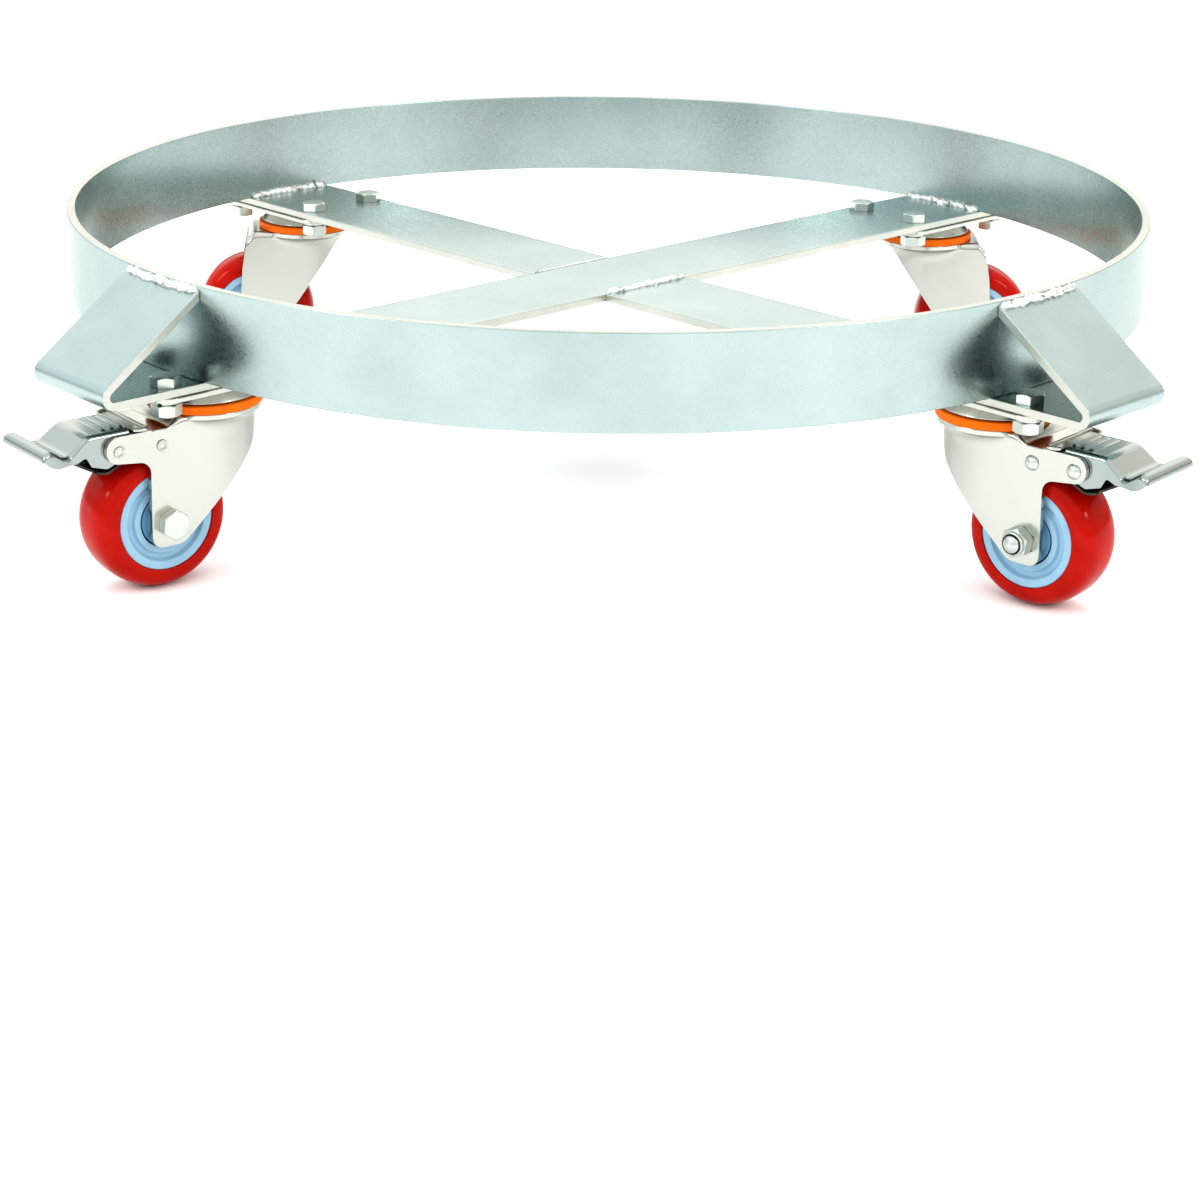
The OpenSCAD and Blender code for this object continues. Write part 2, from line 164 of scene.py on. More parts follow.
class Shape:
    """Closed surfaces in millimetres, gathered into one mesh. A face's paint is its material's number."""

    def __init__(self):
        self.verts = []
        self.faces = []
        self.paint = []

    def add(self, verts, faces, paint=0):
        base = len(self.verts)
        self.verts += [tuple(v) for v in verts]
        self.faces += [[base + i for i in f] for f in faces]
        self.paint += [paint] * len(faces)

    def rings(self, rings, loop=True, caps=True, paint=0):
        """Joins rings of equal length. A loop's last point meets its first."""
        size = len(rings[0])
        verts = [p for ring in rings for p in ring]
        faces = []
        for i in range(len(rings) - 1):
            for k in range(size if loop else size - 1):
                a, b = i * size + k, i * size + (k + 1) % size
                faces.append([a, b, b + size, a + size])
        if caps:
            faces.append(list(range(size))[::-1])
            faces.append([(len(rings) - 1) * size + k for k in range(size)])
        self.add(verts, faces, paint)

    def prism(self, outline, y0, y1):
        """An outline in X and Z, drawn out along Y."""
        self.rings([[(x, y, z) for x, z in outline] for y in (y0, y1)])

    def slab(self, outline, z0, z1):
        """An outline in X and Y, drawn up along Z."""
        self.rings([[(x, y, z) for x, y in outline] for z in (z0, z1)])

    def lathe(self, profile, at=(0, 0, 0), axis="Z", steps=96, closed=True, paint=0):
        """Turns a profile of (radius, distance along the axis). A closed profile returns to its start."""
        profile = list(profile) + ([profile[0]] if closed else [])
        angles = [2 * math.pi * k / steps for k in range(steps)]
        rings = [[on_axis(r, d, a, at, axis) for a in angles] for r, d in profile]
        self.rings(rings, caps=False, paint=paint)

    def hexagon(self, af, low, high, at=(0, 0, 0), axis="Z", turn=0.0, bore=0.0, chamfers=(False, True)):
        """A hexagon bar, af across its flats. chamfers says which ends are turned to a cone, low and high."""
        steps = 72
        circle = af / 2 * 0.97
        slope = math.tan(math.radians(30))

        def reach(k):
            a = (k * 360 / steps) % 60 - 30
            return af / 2 / math.cos(math.radians(a))

        def drop(k):
            return (reach(k) - circle) * slope

        rows = [lambda k: (bore, low)]
        if chamfers[0]:
            rows += [lambda k: (circle, low), lambda k: (reach(k), low + drop(k))]
        else:
            rows += [lambda k: (reach(k), low)]
        if chamfers[1]:
            rows += [lambda k: (reach(k), high - drop(k)), lambda k: (circle, high)]
        else:
            rows += [lambda k: (reach(k), high)]
        rows += [lambda k: (bore, high)]
        if bore:
            rows += [rows[0]]
        angles = [2 * math.pi * k / steps + math.radians(turn) for k in range(steps)]
        rings = [[on_axis(*row(k), a, at, axis) for k, a in enumerate(angles)] for row in rows]
        self.rings(rings, caps=False)

    def mesh(self, name):
        """Welds the surfaces into a mesh in metres."""
        mesh = bpy.data.meshes.new(name)
        bm = bmesh.new()
        verts = [bm.verts.new(v) for v in self.verts]
        for f, paint in zip(self.faces, self.paint):
            face = bm.faces.new([verts[i] for i in f])
            face.material_index = paint
            face.smooth = True
        bmesh.ops.remove_doubles(bm, verts=bm.verts, dist=0.002)
        bmesh.ops.dissolve_degenerate(bm, edges=bm.edges, dist=0.0005)
        bmesh.ops.recalc_face_normals(bm, faces=bm.faces)
        bmesh.ops.scale(bm, vec=(MM, MM, MM), verts=bm.verts)
        bm.to_mesh(mesh)
        bm.free()
        return mesh


def cut(mesh, tool, operation):
    """Booleans one mesh with another, and returns the mesh that is left."""
    base_object = bpy.data.objects.new("base", mesh)
    tool_object = bpy.data.objects.new("tool", tool)
    for o in (base_object, tool_object):
        bpy.context.scene.collection.objects.link(o)
    modifier = base_object.modifiers.new("cut", "BOOLEAN")
    modifier.solver = "EXACT"
    modifier.operation = operation
    modifier.object = tool_object
    graph = bpy.context.evaluated_depsgraph_get()
    result = bpy.data.meshes.new_from_object(base_object.evaluated_get(graph))
    for o in (base_object, tool_object):
        bpy.data.objects.remove(o)
    for face in result.polygons:
        face.use_smooth = True
    return result


def piece(name, mesh, place, paints, body, nodes=(), edge=0.0, limit=38):
    """Puts a mesh in place as one piece of the object, in place of the CAD nodes named.

    edge is how far its sharp edges are cut back, in mm, and limit is the angle from which they count
    as sharp.
    """
    mesh = mesh.copy()
    mesh.name = name
    o = bpy.data.objects.new(name, mesh)
    bpy.context.scene.collection.objects.link(o)
    o.matrix_world = place
    for paint in paints:
        mesh.materials.append(paint)
    if edge:
        bevel = o.modifiers.new("edges", "BEVEL")
        bevel.width = edge * MM
        bevel.segments = 2
        bevel.limit_method = "ANGLE"
        bevel.angle_limit = math.radians(limit)
        bevel.use_clamp_overlap = True
    weigh = o.modifiers.new("shading", "WEIGHTED_NORMAL")
    weigh.weight = 90
    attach(o, body)
    if nodes:
        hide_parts(*nodes)
    return o


# ---------------------------------------------------------------- places


def caster_place(corner):
    """The caster's own frame, turned to the way it trails."""
    x, y, _ = JOINTS["swivel_" + corner]["pos_m"]
    side = JOINTS["spin_" + corner]["axis"]
    heading = math.atan2(-side[0], side[1])
    return Matrix.Translation((x, y, DECK * MM)) @ Matrix.Rotation(heading, 4, "Z")


def arm_angle(corner):
    """The heading of the bar that runs out over this corner's caster."""
    x, y, _ = JOINTS["swivel_" + corner]["pos_m"]
    return math.atan2(y, x)


def bar_place(corner):
    """The frame of the bar over this corner, from the centre of the cross."""
    return Matrix.Translation((0, 0, DECK * MM)) @ Matrix.Rotation(arm_angle(corner), 4, "Z")


def plate_place(corner):
    """The frame of a caster's top plate, which lies along its bar."""
    x, y, _ = JOINTS["swivel_" + corner]["pos_m"]
    return Matrix.Translation((x, y, DECK * MM)) @ Matrix.Rotation(arm_angle(corner), 4, "Z")


# ---------------------------------------------------------------- materials


MIX_A, MIX_B, MIX_OUT = 6, 7, 2         # a Mix node's colour sockets


class Paint:
    """A small helper that builds one procedural material."""

    def __init__(self, name):
        self.material = bpy.data.materials.new(name)
        self.material.use_nodes = True
        self.tree = self.material.node_tree
        self.shader = self.tree.nodes["Principled BSDF"]
        self.coords = self.tree.nodes.new("ShaderNodeTexCoord").outputs["Object"]

    def link(self, a, b):
        self.tree.links.new(a, b)

    def feed(self, socket, output):
        """Drives one of the shader's sockets."""
        self.link(output, self.shader.inputs[socket])

    def set(self, **values):
        """Gives the shader's own sockets fixed values."""
        for key, value in values.items():
            self.shader.inputs[key.replace("_", " ")].default_value = value

    def noise(self, scale, detail, rough=0.55, distortion=0.0):
        node = self.tree.nodes.new("ShaderNodeTexNoise")
        node.inputs["Scale"].default_value = scale
        node.inputs["Detail"].default_value = detail
        node.inputs["Roughness"].default_value = rough
        node.inputs["Distortion"].default_value = distortion
        self.link(self.coords, node.inputs["Vector"])
        return node.outputs["Fac"]

    def ramp(self, value, stops):
        """Turns a value into colour, by stops of (position, colour)."""
        node = self.tree.nodes.new("ShaderNodeValToRGB")
        elements = node.color_ramp.elements
        while len(elements) < len(stops):
            elements.new(0.5)
        for element, (position, colour) in zip(elements, stops):
            element.position = position
            element.color = (*colour, 1)
        self.link(value, node.inputs["Fac"])
        return node.outputs["Color"]

    def span(self, value, low, high):
        """Spreads the middle of a noise, from 0.3 to 0.7, between two values."""
        node = self.tree.nodes.new("ShaderNodeMapRange")
        node.inputs["From Min"].default_value = 0.3
        node.inputs["From Max"].default_value = 0.7
        node.inputs["To Min"].default_value = low
        node.inputs["To Max"].default_value = high
        self.link(value, node.inputs["Value"])
        return node.outputs["Result"]

    def multiply(self, factor, a, b):
        """Multiplies one colour by another, as strongly as factor says."""
        node = self.tree.nodes.new("ShaderNodeMix")
        node.data_type = "RGBA"
        node.blend_type = "MULTIPLY"
        node.inputs["Factor"].default_value = factor
        self.link(a, node.inputs[MIX_A])
        self.link(b, node.inputs[MIX_B])
        return node.outputs[MIX_OUT]

    def bump(self, *heights):
        """Stacks bumps, each (height, depth in mm, strength)."""
        normal = None
        for height, depth, strength in heights:
            node = self.tree.nodes.new("ShaderNodeBump")
            node.inputs["Strength"].default_value = strength
            node.inputs["Distance"].default_value = depth * MM
            self.link(height, node.inputs["Height"])
            if normal:
                self.link(normal, node.inputs["Normal"])
            normal = node.outputs["Normal"]
        self.link(normal, self.shader.inputs["Normal"])


def zinc(name, light, dark, rough, grain, rim=None):
    """Clear zinc plating: cloudy tint, fine grain, and a satin gloss that varies a little.

    rim tints what it reflects where it is seen edge-on.
    """
    p = Paint(name)
    cloud = p.noise(18, 4, 0.6)
    speck = p.noise(1400, 2, 0.7)
    fine = p.noise(420, 3, 0.6)
    base = p.ramp(cloud, [(0.32, dark), (0.68, light)])
    shade = p.ramp(speck, [(0.35, (0.92, 0.93, 0.93)), (0.62, (1, 1, 1))])
    p.feed("Base Color", p.multiply(0.6 * grain, base, shade))
    p.feed("Roughness", p.span(fine, rough - 0.02 - 0.08 * grain, rough + 0.02 + 0.1 * grain))
    p.set(Metallic=1.0)
    if rim:
        p.set(Specular_Tint=(*rim, 1.0))
    p.bump((fine, 0.006, 0.25 * grain), (speck, 0.003, 0.3 * grain))
    return p.material


def plastic(name, light, dark, rough, coat=0.0, bump=0.15, gloss=0.5):
    """Moulded plastic or cast polyurethane, with faint flow marks and a fine skin."""
    p = Paint(name)
    flow = p.noise(60, 3, distortion=0.6)
    skin = p.noise(900, 2, 0.6)
    p.feed("Base Color", p.ramp(flow, [(0.3, dark), (0.7, light)]))
    p.feed("Roughness", p.span(skin, rough - 0.03, rough + 0.05))
    p.set(Coat_Weight=coat, Coat_Roughness=0.05, Specular_IOR_Level=gloss)
    p.bump((skin, 0.01, bump))
    return p.material


def weld_metal():
    """Zinc over a weld bead, with dark burnt pits."""
    p = Paint("weld")
    pits = p.noise(260, 4, 0.65)
    burnt, plated, bright = (0.22, 0.21, 0.18), (0.66, 0.68, 0.65), (0.86, 0.88, 0.85)
    p.feed("Base Color", p.ramp(pits, [(0.33, burnt), (0.40, plated), (0.7, bright)]))
    p.feed("Roughness", p.span(pits, 0.5, 0.3))
    p.set(Metallic=0.95)
    p.bump((pits, 0.15, 0.5))
    return p.material


def spring_steel():
    """Blackened spring steel, worn to brown where it rubs."""
    p = Paint("blackened steel")
    wear = p.noise(170, 4, 0.6)
    black, dull, brown = (0.020, 0.019, 0.016), (0.05, 0.045, 0.032), (0.14, 0.12, 0.07)
    p.feed("Base Color", p.ramp(wear, [(0.35, black), (0.62, dull), (0.75, brown)]))
    p.feed("Roughness", p.span(wear, 0.3, 0.5))
    p.set(Metallic=0.6)
    p.bump((wear, 0.02, 0.3))
    return p.material


BAR_LIGHT, BAR_DARK = (0.385, 0.465, 0.458), (0.33, 0.41, 0.40)
FRAME_ZINC = zinc("frame zinc", BAR_LIGHT, BAR_DARK, 0.28, grain=0.07)
HOOP_ZINC = zinc("hoop zinc", BAR_LIGHT, BAR_DARK, 0.28, grain=0.07, rim=(0.79, 0.82, 0.79))
EDGE_ZINC = zinc("cut edge", (0.53, 0.535, 0.485), (0.46, 0.48, 0.435), 0.34, grain=0.4)
CASTER_ZINC = zinc("caster zinc", (0.505, 0.515, 0.475), (0.47, 0.485, 0.445), 0.22, grain=0.04)
PEDAL_ZINC = zinc("pedal zinc", (0.33, 0.365, 0.35), (0.285, 0.33, 0.31), 0.18, grain=0.06)
BOLT_ZINC = zinc("fastener zinc", (0.56, 0.59, 0.555), (0.47, 0.51, 0.475), 0.30, grain=0.15)
GROUND_STEEL = zinc("ground steel", (0.52, 0.53, 0.54), (0.43, 0.45, 0.47), 0.28, grain=0.4)
WELD = weld_metal()
TYRE_RED = plastic("red polyurethane", (0.40, 0.0065, 0.0013), (0.33, 0.0045, 0.001), 0.08,
                   coat=0.04, bump=0.02, gloss=0.08)
HUB_BLUE = plastic("light blue plastic", (0.275, 0.455, 0.585), (0.235, 0.40, 0.535), 0.36, gloss=0.35)
CAP_BLUE = plastic("mid blue plastic", (0.08, 0.23, 0.38), (0.065, 0.19, 0.32), 0.38)
SEAL_ORANGE = plastic("orange plastic", (0.78, 0.155, 0.003), (0.70, 0.13, 0.003), 0.5, gloss=0.1)
# black nylon for the lock nuts' inserts, and painted shade in the hubs' recesses round the thread guards
BLACK_NYLON_AND_GAP_SHADE = plastic("black nylon and painted gap shade", (0.02, 0.02, 0.02), (0.012, 0.012, 0.012), 0.5)
SHOE_BLACK = spring_steel()


# ---------------------------------------------------------------- frame


def two_tone(mesh, axis):
    """Gives a flat bar's sheared edges, the faces that look along this axis, the second material."""
    for face in mesh.polygons:
        face.material_index = int(abs(face.normal[axis]) > 0.9)
    return mesh


def ring_mesh():
    """The hoop, with its edges broken all round."""
    s = Shape()
    inner = RING_R - RING_T
    s.lathe(fillet([(inner, 0), (RING_R, 0), (RING_R, RING_H), (inner, RING_H)], 0.7, 3), steps=360)
    return two_tone(s.mesh("ring"), 2)


def arm_outline(y, x0):
    """A bar end seen from the side, from its lower edge at x0, round the fold and back to its upper edge."""
    fold_out = FOLD_IN + BAR_T
    cx, cz = FOLD_REACH - fold_out, FOLD_IN
    dx, dz = cx - RING_R, GUSSET_TOP - cz
    slope = math.atan2(dz, dx) - math.asin(fold_out / math.hypot(dx, dz))
    normal = (math.sin(slope), math.cos(slope))
    wall = math.sqrt((RING_R + 0.05) ** 2 - y * y)      # the ring's outer face, less a hair

    def leg_end(offset):
        px, pz = cx + offset * normal[0], cz + offset * normal[1]
        along = (px - wall) / math.cos(slope)
        return (wall, pz + along * math.sin(slope))

    turn = 90 - math.degrees(slope)
    return (
        [(x0, -BAR_T)]
        + arc(cx, cz, fold_out, -90, turn, 12)
        + [leg_end(fold_out), leg_end(FOLD_IN)]
        + arc(cx, cz, FOLD_IN, turn, -90, 12)
        + [(x0, 0)]
    )


def joint_x(corner, y):
    """Where a half bar meets the long bar's edge, which isn't quite square to it."""
    turn = math.remainder(arm_angle("rear_right") - arm_angle(corner), math.pi / 2)
    return (BAR_W / 2 - y * math.sin(turn)) / math.cos(turn)


def bar_mesh(corner=None):
    """The half bar over this corner, or with no corner the long bar, which has a fold at both ends."""
    s = Shape()
    rings = []
    for y in np.linspace(-BAR_W / 2, BAR_W / 2, 17):
        outline = arm_outline(y, joint_x(corner, y) if corner else 0)
        if not corner:
            outline = outline[1:-1]
            outline = outline + [(-x, z) for x, z in outline[::-1]]
        rings.append([(x, y, z) for x, z in outline])
    s.rings(rings)
    return two_tone(s.mesh("bar"), 1)


BEAD_POINTS = 46


def bead(s, path, radius, seed, lump):
    """A weld bead: a tube along the path with ripples and lumps, drawn thin at its ends."""
    steps = 10
    rings = []
    for i, point in enumerate(path):
        here = Vector(point)
        ahead = Vector(path[min(i + 1, len(path) - 1)]) - Vector(path[max(i - 1, 0)])
        side = ahead.cross(Vector((0, 0, 1))).normalized()
        up = side.cross(ahead).normalized()
        ends = min(i, len(path) - 1 - i)
        taper = min(1.0, 0.25 + 0.35 * ends)
        ripple = 1 + 0.10 * math.sin(i * 1.9 + seed)
        ring = []
        for k in range(steps):
            a = 2 * math.pi * k / steps
            rough = noise.noise(here * 0.45 + Vector((seed * 7.1, k * 0.9, seed)))
            r = radius * taper * ripple * (1 + lump * rough)
            ring.append(here + (side * math.cos(a) + up * math.sin(a)) * r)
        rings.append(ring)
    s.rings(rings)


def arc_path(radius, half, z):
    """Points along the ring's face between the two edges of a bar."""
    return [(math.sqrt(radius ** 2 - y * y), y, z) for y in np.linspace(-half, half, BEAD_POINTS)]


def corner_welds(seed):
    """The beads at one end of a bar: the folded end to the ring, and the ring to the bar on the inside."""
    s = Shape()
    bead(s, arc_path(RING_R + 0.7, BAR_W / 2 - 1.0, GUSSET_TOP + 0.3), 2.1, seed, 0.8)
    bead(s, arc_path(RING_R - RING_T - 0.6, BAR_W / 2 - 1.5, 0.6), 2.7, seed + 3, 0.9)
    return s.mesh("welds")


def cross_welds(corner, seed, radius, lump):
    """The beads where a half bar meets the long bar's edge, above and below, in the half bar's frame."""
    s = Shape()
    across = np.linspace(-BAR_W / 2 + 1, BAR_W / 2 - 1, BEAD_POINTS)
    bead(s, [(joint_x(corner, y), y, 0.1) for y in across], radius, seed, lump)
    bead(s, [(joint_x(corner, y), y, -BAR_T - 0.1) for y in across], 1.6, seed + 2, 0.5)
    return s.mesh("welds")


piece("welded_ring", ring_mesh(), Matrix.Translation((0, 0, DECK * MM)), [HOOP_ZINC, EDGE_ZINC], "frame",
      ["ring"])
piece("folded_long_bar", bar_mesh(), bar_place("rear_right"), [FRAME_ZINC, EDGE_ZINC], "frame",
      ["long_bar"], edge=0.5)
for corner in ("front_right", "rear_left"):
    piece("folded_half_bar_" + corner, bar_mesh(corner), bar_place(corner), [FRAME_ZINC, EDGE_ZINC],
          "frame", ["half_bar_" + corner], edge=0.5)
for seed, corner in enumerate(CORNERS):
    piece("corner_welds_" + corner, corner_welds(seed * 11 + 2), bar_place(corner), [WELD], "frame")
for corner, seed, radius, lump in (("front_right", 5, 2.1, 1.1), ("rear_left", 9, 0.6, 0.4)):
    piece("cross_weld_" + corner, cross_welds(corner, seed, radius, lump), bar_place(corner), [WELD], "frame")


# ---------------------------------------------------------------- plates and their bolts


def top_plate_mesh():
    """A caster's top plate, and the upper race, a dished ring pressed down from it."""
    s = Shape()
    half_l, half_w = PLATE_L / 2, PLATE_W / 2
    outline = [(half_l, half_w), (-half_l, half_w), (-half_l, -half_w), (half_l, -half_w)]
    s.slab(fillet(outline, 10, 10), PLATE_UNDER, -BAR_T)
    top, floor, bore = PLATE_UNDER - 0.1, -12, 6.2
    s.lathe(fillet([(bore, top), (22.5, top, 3), (25.5, -9.5, 3), (29.3, DOME_UNDER, 0.6), (16, DOME_UNDER),
                    (16, floor), (bore, floor)], 0, 5))
    return s.mesh("top_plate")


def plate_bolt_mesh(turns):
    """Four hex bolts, each turned its own way, with chamfered ends just through the nuts."""
    s = Shape()
    tip = NUT_BOTTOM - 0.5
    shank = [(0, 0.5), (BOLT_R, 0.5), (BOLT_R, tip + 1.0), (BOLT_R - 0.8, tip), (0, tip)]
    for (x, y), turn in zip(BOLT_SPOTS, turns):
        s.hexagon(BOLT_AF, 0, BOLT_HEAD, (x, y, 0), turn=turn)
        s.lathe(shank, (x, y, 0), steps=40, closed=False)
    return s.mesh("plate_bolts")


def plate_nut_mesh(turns):
    s = Shape()
    for (x, y), turn in zip(BOLT_SPOTS, turns):
        s.hexagon(BOLT_AF, NUT_BOTTOM, NUT_BOTTOM + NUT_H, (x, y, 0), turn=turn, bore=BOLT_R + 0.03,
                  chamfers=(True, True))
    return s.mesh("plate_nuts")


def spring_washer_mesh(turns):
    """Split spring washers, pressed almost flat between the plate and the nuts."""
    s = Shape()
    inner = BOLT_R + 0.1
    half_gap = 8                        # degrees
    step, thick = 0.3, WASHER_T - 0.35  # from one end to the other, and of the wire
    for (x, y), turn in zip(BOLT_SPOTS, turns):
        rings = []
        for t in np.linspace(0, 1, 65):
            a = math.radians(turn + half_gap + (360 - 2 * half_gap) * t)
            top = PLATE_UNDER - step * t
            section = fillet([(inner, top), (WASHER_R, top), (WASHER_R, top - thick), (inner, top - thick)],
                             0.25, 3)
            rings.append([(x + r * math.cos(a), y + r * math.sin(a), z) for r, z in section])
        s.rings(rings)
    return s.mesh("spring_washers")


def seal_mesh():
    s = Shape()
    low, high = HEAD_TOP + 0.02, HEAD_TOP + SEAL_H
    s.lathe(fillet([(SEAL_IN, low), (SEAL_OUT, low), (SEAL_OUT, high), (SEAL_IN, high)], 0.6, 4), steps=128)
    return s.mesh("seal")


# how far each bolt and nut happens to be turned, in degrees
BOLT_TURNS = {"front_left": (12, 40, 33, 27), "front_right": (22, 51, 6, 30),
              "rear_left": (3, 27, 44, 17), "rear_right": (36, 9, 20, 55)}
NUT_TURNS = {"front_left": (20, 8, 47, 27), "front_right": (31, 2, 48, 44),
             "rear_left": (50, 13, 26, 5), "rear_right": (7, 39, 52, 21)}

for corner in CORNERS:
    at = plate_place(corner)
    first = corner == CORNERS[0]        # the CAD has one node for all sixteen bolts, washers or nuts
    piece("pressed_top_plate_" + corner, top_plate_mesh(), at, [CASTER_ZINC], "frame",
          ["top_plate_" + corner], edge=0.4)
    piece("hex_bolts_" + corner, plate_bolt_mesh(BOLT_TURNS[corner]), at, [BOLT_ZINC], "frame",
          ["plate_bolts"] if first else (), edge=0.25, limit=40)
    piece("hex_nuts_" + corner, plate_nut_mesh(NUT_TURNS[corner]), at, [BOLT_ZINC], "frame",
          ["plate_nuts"] if first else (), edge=0.25, limit=40)
    piece("spring_washers_" + corner, spring_washer_mesh(BOLT_TURNS[corner]), at, [BOLT_ZINC], "frame",
          ["plate_washers"] if first else ())
    piece("dust_seal_" + corner, seal_mesh(), caster_place(corner), [SEAL_ORANGE], "caster_" + corner,
          ["seal_ring_" + corner])


# ---------------------------------------------------------------- forks


def smooth(t):
    """Eases from 0 to 1."""
    t = max(0.0, min(1.0, t))
    return t * t * (3 - 2 * t)


def fork_section(flare, top, shoulder):
    """Half of the fork's section, as (distance outside the wall, height), from its underside to its top."""
    wall = LEG_OUT - LEG_IN
    bottom = -100.0                     # below the legs' ends, to be trimmed
    under = top - HEAD_T
    rim_low = min(HEAD_TOP - HEAD_T - 0.3, top - shoulder - 0.05)
    rise = 2.0 + 0.75 * flare
    points = [(-LEG_OUT, under), (-wall - 5, under), (-wall - 2, under)]
    points += arc(-wall - 2, under - 2, 2, 90, 0, 4)[1:]
    points += [(-wall, under - 12), (-wall, bottom), (0, bottom), (0, rim_low - rise - 3)]
    for k in range(9):
        a = math.radians(90 * k / 8)
        points.append((flare * (1 - math.cos(a)), rim_low - rise + rise * math.sin(a)))
    points += arc(flare - shoulder, top - shoulder, shoulder, 0, 90, 6)
    points += [(flare - shoulder - 3, top), (-LEG_OUT, top)]
    return points


def fork_shell(top_at, shoulder_at, crease):
    """The pressed sheet before it is trimmed: flat sides, a back that curves from the crease, a round head.

    Its section is drawn at stations all round it, each (point, way out, flare of the head, x).
    """
    def side_flare(x):
        reach = math.sqrt(max(HEAD_R ** 2 - x * x, 0)) if x < HEAD_R else 0
        return max(0.0, reach - LEG_OUT)

    fronts = [70, 60, 50, 43.2, 42.7] + list(np.linspace(42, crease, 44))
    stations = [((x, -LEG_OUT), (0, -1), side_flare(x), x) for x in fronts]
    length = crease - HOOD_BACK
    for a in np.radians(np.linspace(270, 90, 61)[1:-1]):
        point = Vector((crease + length * math.cos(a), LEG_OUT * math.sin(a)))
        n = Vector((math.cos(a) / length, math.sin(a) / LEG_OUT)).normalized()
        along = point.dot(n)
        flare = -along + math.sqrt(along ** 2 + HEAD_R ** 2 - point.length_squared)
        stations.append((tuple(point), tuple(n), flare, point.x))
    stations += [((x, LEG_OUT), (0, 1), side_flare(x), x) for x in fronts[::-1]]
    rings = []
    for (px, py), (nx, ny), flare, x in stations:
        plain = 1 - smooth(flare / 3)
        shoulder = 0.8 + (shoulder_at(x) - 0.8) * plain
        section = fork_section(flare, top_at(x), shoulder)
        rings.append([(px + nx * d, py + ny * d, z) for d, z in section])
    s = Shape()
    s.rings(rings, loop=False)
    return s.mesh("fork_shell")


def plain_fork():
    """A rear fork: its head slopes down at the front, and it is trimmed to its outline seen from the side."""
    def top_at(x):
        return HEAD_TOP if x < 33 else HEAD_TOP - 5.5 * smooth((x - 33) / 6.5) ** 1.2

    shell = fork_shell(top_at, lambda x: 4.0, 1.5)
    outline = fillet([
        (-30.8, -15), (39.2, -15), (39.2, -26, 3), (42.6, -44, 60), (45.1, -75.2, 8),
        (45.1, -87.7, 12.4), (26, -87.7, 9), (7, -67, 30), (-22.5, -24.2, 4), (-30.8, -23.2)], 0, 8)
    tool = Shape()
    tool.prism(outline, -TRIM, TRIM)
    return cut(shell, tool.mesh("tool"), "INTERSECT")


def brake_fork():
    """A front fork: as a rear one, with two ears that carry the brake and a gap between them."""
    def slope(x):
        return smooth((x - 24.5) / 9.5)

    def top_at(x):
        return -16.0 if x > EAR_X + 0.3 else HEAD_TOP - 4.6 * slope(x)

    def shoulder_at(x):
        return 0.5 if x > EAR_X + 0.3 else 3.6 - 2.8 * slope(x)

    shell = fork_shell(top_at, shoulder_at, 13.5)
    ear = PIVOT[1] + 0.8
    outline = [(-30.8, -15), (EAR_X, -15), (EAR_X, EAR_TOP), (PIVOT[0], EAR_TOP)]
    outline += arc(PIVOT[0], ear, 7.2, 88, -88, 14)
    outline += fillet([
        (61.3, ear - 7.2), (44.0, -40.6, 6.5), (45.1, -75.2, 8), (45.1, -87.7, 12.4), (27, -87.7, 10),
        (-8, -57, 40), (-22, -44, 30), (-28.2, -28, 8), (-30.8, -23.2)], 0, 8, closed=False)
    tool = Shape()
    tool.prism(outline, -TRIM, TRIM)
    mesh = cut(shell, tool.mesh("tool"), "INTERSECT")
    gap = Shape()
    gap.prism([(EAR_X, -10), (80, -10), (80, -39.5), (EAR_X, -39.5)], -LEG_IN, LEG_IN)
    return cut(mesh, gap.mesh("tool"), "DIFFERENCE")


PLAIN_FORK = plain_fork()
BRAKE_FORK = brake_fork()
for corner in CORNERS:
    piece("pressed_fork_" + corner, BRAKE_FORK if corner in BRAKED else PLAIN_FORK, caster_place(corner),
          [CASTER_ZINC], "caster_" + corner, ["fork_" + corner], edge=0.35, limit=50)


# ---------------------------------------------------------------- wheels and axles

# one side of the hub, from its rim in to its bore
HUB_FACE = [(26.83, HUB_HALF, 0.6), (22.4, HUB_HALF, 0.8), (21.2, 12.6, 1.2), (18.8, 12.6, 1.0),
            (17.8, 14.7, 0.4), (14.7, 14.7, 0.3), (14.7, 12.9), (11.05, 12.9), (11.05, 6), (8, 6)]


def mirrored(points):
    """The other side of a wheel's profile."""
    return [(p[0], -p[1], *p[2:]) for p in points[::-1]]


def hub_mesh():
    s = Shape()
    s.lathe(fillet(HUB_FACE + mirrored(HUB_FACE), 0, 5), AXLE, "Y", steps=128)
    mesh = s.mesh("hub")
    for face in mesh.polygons:          # painted shade: the floor of the recess round the thread guard, and its outer wall, seen through the gap, are painted black
        x, y, z = face.center / MM
        radius = math.hypot(x - TRAIL, z - AXLE_Z)
        # painted shade: faces between 11 and 14.75 mm out, and 12 to 14.3 mm from the middle, take the black
        # material
        face.material_index = int(11.0 < radius < 14.75 and 12.0 < abs(y) < 14.3)
    return mesh


def tyre_mesh():
    s = Shape()
    power = 2 / OBLONG
    crown = []
    for a in np.radians(np.linspace(-90, 90, 49)):
        across = math.copysign(abs(math.sin(a)) ** power, a) * WHEEL_HALF
        crown.append((WHEEL_R - SHOULDER + SHOULDER * max(math.cos(a), 0) ** power, across))
    profile = [(SEAT_R, -HUB_HALF), (27.05, -15.8), (27.5, -WHEEL_HALF)] + crown
    profile += [(27.5, WHEEL_HALF), (27.05, 15.8), (SEAT_R, HUB_HALF)]
    s.lathe(profile, AXLE, "Y", steps=160)
    return s.mesh("tyre")


